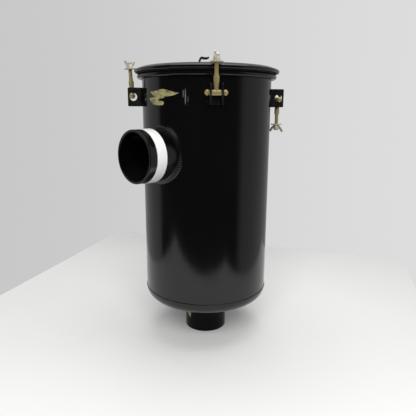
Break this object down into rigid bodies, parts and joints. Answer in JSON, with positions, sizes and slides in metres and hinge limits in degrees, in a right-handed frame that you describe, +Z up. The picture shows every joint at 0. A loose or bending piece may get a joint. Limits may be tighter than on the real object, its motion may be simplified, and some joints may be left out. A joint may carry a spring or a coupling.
{
  "type": "canister dust collector",
  "caption": "Round steel canister dust filter on its outlet pipe, with a side inlet, a swing-bolt lid with wing nuts, and a pleated element inside.",
  "frame": {"origin": "under the middle of the object's box, at the plane of the open end of the outlet pipe that it stands on; the can's vertical axis is at X 0, Y +21.25 mm", "axes": "+Z up along the can's axis; -Y the way the inlet pipe points"},
  "size_m": [0.289, 0.3314, 0.5778],
  "materials": {
    "black_paint": "gloss black paint on sheet steel",
    "bracket_paint": "semi-gloss black paint, thin at the edges",
    "band_white": "smooth pale tape",
    "gold_zinc": "yellow-passivated zinc plate",
    "pale_zinc": "pale zinc plate",
    "black_rubber": "matt sponge rubber",
    "filter_paper": "resin-treated pleated paper",
    "plain_steel": "galvanised sheet"
  },
  "bodies": {
    "can": {"can_shell": "black_paint", "flange_bead": "black_paint", "can_bottom": "black_paint", "bottom_seam_weld": "black_paint", "outlet_pipe": "black_paint", "outlet_weld": "black_paint", "inlet_pipe": "black_paint", "inlet_weld": "black_paint", "inlet_band": "band_white", "front_right_bracket": "bracket_paint", "rear_right_bracket": "bracket_paint", "rear_left_bracket": "bracket_paint", "front_left_bracket": "bracket_paint"},
    "lid": {"lid": "black_paint", "lid_gasket": "black_rubber", "finger_lift": "black_paint", "finger_lift_screw": "black_paint"},
    "element": {"element_gasket": "black_rubber", "element_bottom_cap": "plain_steel", "element_media": "filter_paper", "element_core": "plain_steel", "element_top_cap": "plain_steel", "element_pressure_pad": "black_rubber"},
    "front_right_bolt": {"front_right_swing_bolt": "gold_zinc"},
    "front_right_washer": {"front_right_washer": "pale_zinc"},
    "front_right_nut": {"front_right_wing_nut": "pale_zinc"},
    "rear_right_bolt": {"rear_right_swing_bolt": "gold_zinc"},
    "rear_right_washer": {"rear_right_washer": "pale_zinc"},
    "rear_right_nut": {"rear_right_wing_nut": "pale_zinc"},
    "rear_left_bolt": {"rear_left_swing_bolt": "gold_zinc"},
    "rear_left_washer": {"rear_left_washer": "pale_zinc"},
    "rear_left_nut": {"rear_left_wing_nut": "pale_zinc"},
    "front_left_bolt": {"front_left_swing_bolt": "gold_zinc"},
    "front_left_washer": {"front_left_washer": "pale_zinc"},
    "front_left_nut": {"front_left_wing_nut": "pale_zinc"}
  },
  "joints": [
    {"name": "lid_lift", "type": "slide", "parent": "can", "child": "lid", "axis": [0, 0, 1], "range_m": [0, 0.158]},
    {"name": "element_lift", "type": "slide", "parent": "can", "child": "element", "axis": [0, 0, 1], "range_m": [0, 0.096]},
    {"name": "front_right_swing", "type": "hinge", "parent": "can", "child": "front_right_bolt", "pos_m": [0.11528, -0.07378, 0.5028], "axis": [0.6361, 0.7716, 0], "range_deg": [0, 165]},
    {"name": "front_right_nut_travel", "type": "slide", "parent": "front_right_bolt", "child": "front_right_washer", "axis": [0, 0, 1], "range_m": [0, 0.0061]},
    {"name": "front_right_nut_spin", "type": "hinge", "parent": "front_right_washer", "child": "front_right_nut", "pos_m": [0.11528, -0.07378, 0.5028], "axis": [0, 0, 1], "range_deg": [0, 1531]},
    {"name": "rear_right_swing", "type": "hinge", "parent": "can", "child": "rear_right_bolt", "pos_m": [0.09388, 0.13514, 0.495], "axis": [0.7716, -0.6361, 0], "range_deg": [-1.5, 165]},
    {"name": "rear_right_nut_travel", "type": "slide", "parent": "rear_right_bolt", "child": "rear_right_washer", "axis": [0, 0, -1], "range_m": [0, 0.0061]},
    {"name": "rear_right_nut_spin", "type": "hinge", "parent": "rear_right_washer", "child": "rear_right_nut", "pos_m": [0.09388, 0.13514, 0.495], "axis": [0, 0, -1], "range_deg": [0, 1531]},
    {"name": "rear_left_swing", "type": "hinge", "parent": "can", "child": "rear_left_bolt", "pos_m": [-0.11528, 0.11628, 0.5003], "axis": [-0.6361, -0.7716, 0], "range_deg": [0, 165]},
    {"name": "rear_left_nut_travel", "type": "slide", "parent": "rear_left_bolt", "child": "rear_left_washer", "axis": [0, 0, 1], "range_m": [0, 0.0061]},
    {"name": "rear_left_nut_spin", "type": "hinge", "parent": "rear_left_washer", "child": "rear_left_nut", "pos_m": [-0.11528, 0.11628, 0.5003], "axis": [0, 0, 1], "range_deg": [0, 1531]},
    {"name": "front_left_swing", "type": "hinge", "parent": "can", "child": "front_left_bolt", "pos_m": [-0.09503, -0.09403, 0.5003], "axis": [0.7716, -0.6361, 0], "range_deg": [0, 165]},
    {"name": "front_left_nut_travel", "type": "slide", "parent": "front_left_bolt", "child": "front_left_washer", "axis": [-0.0333, -0.0404, 0.9986], "range_m": [0, 0.0061]},
    {"name": "front_left_nut_spin", "type": "hinge", "parent": "front_left_washer", "child": "front_left_nut", "pos_m": [-0.09503, -0.09403, 0.5003], "axis": [-0.0333, -0.0404, 0.9986], "range_deg": [0, 1531]}
  ],
  "couplings": [
    {"joint": "element_lift", "follows": "lid_lift", "ratio": 0.6},
    {"joint": "front_right_swing", "follows": "lid_lift", "rad_per_m": 18.18},
    {"joint": "front_right_nut_travel", "follows": "front_right_nut_spin", "m_per_rad": 0.00022458},
    {"joint": "rear_right_nut_travel", "follows": "rear_right_nut_spin", "m_per_rad": 0.00022458},
    {"joint": "rear_left_swing", "follows": "lid_lift", "rad_per_m": 18.18},
    {"joint": "rear_left_nut_travel", "follows": "rear_left_nut_spin", "m_per_rad": 0.00022458},
    {"joint": "front_left_swing", "follows": "lid_lift", "rad_per_m": 18.18},
    {"joint": "front_left_nut_travel", "follows": "front_left_nut_spin", "m_per_rad": 0.00022458}
  ]
}
